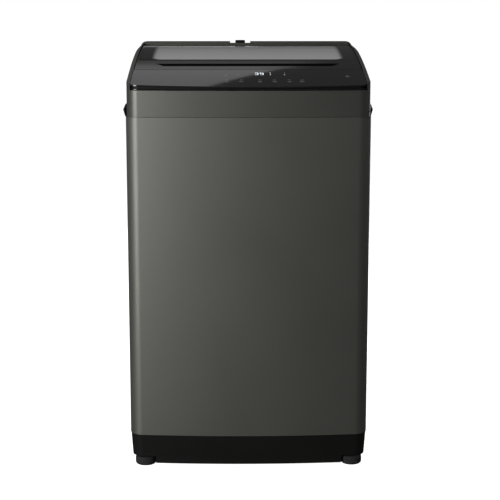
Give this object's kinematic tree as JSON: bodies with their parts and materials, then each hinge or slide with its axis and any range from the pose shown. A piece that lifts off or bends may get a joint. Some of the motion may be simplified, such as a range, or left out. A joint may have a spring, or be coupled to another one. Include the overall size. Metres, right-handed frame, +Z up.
{
  "type": "top load washing machine",
  "caption": "Top load washing machine with a steel cabinet, arched lid with a smoked window, glossy touch console, spin basket on hanging rods, belt drive and levelling feet.",
  "frame": {"origin": "on the floor under the middle of the machine, at the middle of the box that bounds it", "axes": "+Z up, -Y out of the front that the user faces, +X to the right of someone who faces the front"},
  "size_m": [0.5756, 0.56, 0.963],
  "materials": {
    "titanium_paint": "satin metallic titanium grey paint",
    "titanium_plastic": "satin metallic titanium grey",
    "black_plastic": "satin black",
    "smoked_panel": "glossy smoked black",
    "smoked_glass": "clear, tinted, with a dark border",
    "galvanised_steel": "zinc coated",
    "stainless_steel": "polished",
    "white_plastic": "satin",
    "grey_plastic": "satin",
    "cast_aluminium": "as cast",
    "black_rubber": "matt",
    "board_green": "satin",
    "motor_paint": "satin"
  },
  "bodies": {
    "casing": {"cabinet": "titanium_paint", "rear_cover": "galvanised_steel", "base": "black_plastic", "top_cover": "titanium_plastic", "control_panel": "smoked_panel", "control_box": "black_plastic", "control_board": "board_green", "water_inlet_valve": "black_plastic", "dispenser_housing": "white_plastic", "lid_lock_case": "white_plastic", "side_grip_left": "black_plastic", "side_grip_right": "black_plastic", "cord_grommet": "black_rubber", "drain_outlet": "grey_plastic", "corner_bracket_front_left": "galvanised_steel", "corner_bracket_front_right": "galvanised_steel", "corner_bracket_rear_left": "galvanised_steel", "corner_bracket_rear_right": "galvanised_steel", "suspension_rod_front_left": "stainless_steel", "suspension_rod_front_right": "stainless_steel", "suspension_rod_rear_left": "stainless_steel", "suspension_rod_rear_right": "stainless_steel", "suspension_spring_front_left": "stainless_steel", "suspension_spring_front_right": "stainless_steel", "suspension_spring_rear_left": "stainless_steel", "suspension_spring_rear_right": "stainless_steel"},
    "tub_assembly": {"outer_tub": "grey_plastic", "tub_cover": "grey_plastic", "support_plate": "galvanised_steel", "clutch_housing": "cast_aluminium", "shaft_seal": "black_rubber", "motor": "motor_paint", "drive_belt": "black_rubber", "drain_valve": "grey_plastic", "drain_actuator": "white_plastic", "damper_cup_front_left": "white_plastic", "damper_cup_front_right": "white_plastic", "damper_cup_rear_left": "white_plastic", "damper_cup_rear_right": "white_plastic"},
    "spin_basket": {"basket": "stainless_steel", "balance_ring": "grey_plastic", "hub_flange": "cast_aluminium", "spin_shaft": "stainless_steel", "lint_filter": "white_plastic"},
    "wash_drive": {"pulsator": "grey_plastic", "drive_shaft": "stainless_steel", "clutch_pulley": "cast_aluminium"},
    "motor_rotor": {"motor_pulley": "cast_aluminium"},
    "drain_rod": {"drain_pull_rod": "white_plastic"},
    "lid": {"lid_frame": "black_plastic", "lid_glass": "smoked_glass", "hinge_pin_left": "stainless_steel", "hinge_pin_right": "stainless_steel"},
    "lid_bolt": {"lock_bolt": "white_plastic"},
    "drawer": {"detergent_drawer": "white_plastic"},
    "front_left_foot": {"foot_front_left": "black_rubber"},
    "front_right_foot": {"foot_front_right": "black_rubber"},
    "rear_left_foot": {"foot_rear_left": "black_rubber"},
    "rear_right_foot": {"foot_rear_right": "black_rubber"}
  },
  "joints": [
    {"name": "lid_hinge", "type": "hinge", "parent": "casing", "child": "lid", "pos_m": [0, 0.235, 0.94232], "axis": [-1, 0, 0], "range_deg": [0, 98]},
    {"name": "lid_lock_slide", "type": "slide", "parent": "casing", "child": "lid_bolt", "axis": [-1, 0, 0], "range_m": [0, 0.01], "stiffness_N_per_m": 50},
    {"name": "drawer_slide", "type": "slide", "parent": "casing", "child": "drawer", "axis": [0, -1, 0], "range_m": [0, 0.062]},
    {"name": "tub_bounce", "type": "slide", "parent": "casing", "child": "tub_assembly", "axis": [0, 0, 1], "range_m": [-0.025, 0.008], "stiffness_N_per_m": 9000, "springref_m": 0.0267, "deforming": ["suspension_spring_front_left", "suspension_spring_front_right", "suspension_spring_rear_left", "suspension_spring_rear_right"]},
    {"name": "basket_spin", "type": "hinge", "parent": "tub_assembly", "child": "spin_basket", "pos_m": [0, 0, 0.25], "axis": [0, 0, 1], "continuous": true},
    {"name": "pulsator_spin", "type": "hinge", "parent": "tub_assembly", "child": "wash_drive", "pos_m": [0, 0, 0.25], "axis": [0, 0, 1], "continuous": true},
    {"name": "motor_spin", "type": "hinge", "parent": "tub_assembly", "child": "motor_rotor", "pos_m": [-0.15, 0, 0.104], "axis": [0, 0, 1], "continuous": true},
    {"name": "drain_rod_slide", "type": "slide", "parent": "tub_assembly", "child": "drain_rod", "axis": [0, -1, 0], "range_m": [0, 0.01], "stiffness_N_per_m": 300},
    {"name": "foot_front_left_screw", "type": "slide", "parent": "casing", "child": "front_left_foot", "axis": [0, 0, -1], "range_m": [0, 0.012]},
    {"name": "foot_front_right_screw", "type": "slide", "parent": "casing", "child": "front_right_foot", "axis": [0, 0, -1], "range_m": [0, 0.012]},
    {"name": "foot_rear_left_screw", "type": "slide", "parent": "casing", "child": "rear_left_foot", "axis": [0, 0, -1], "range_m": [0, 0.012]},
    {"name": "foot_rear_right_screw", "type": "slide", "parent": "casing", "child": "rear_right_foot", "axis": [0, 0, -1], "range_m": [0, 0.012]}
  ],
  "couplings": [
    {"joint": "motor_spin", "follows": "pulsator_spin", "ratio": 3.5}
  ]
}
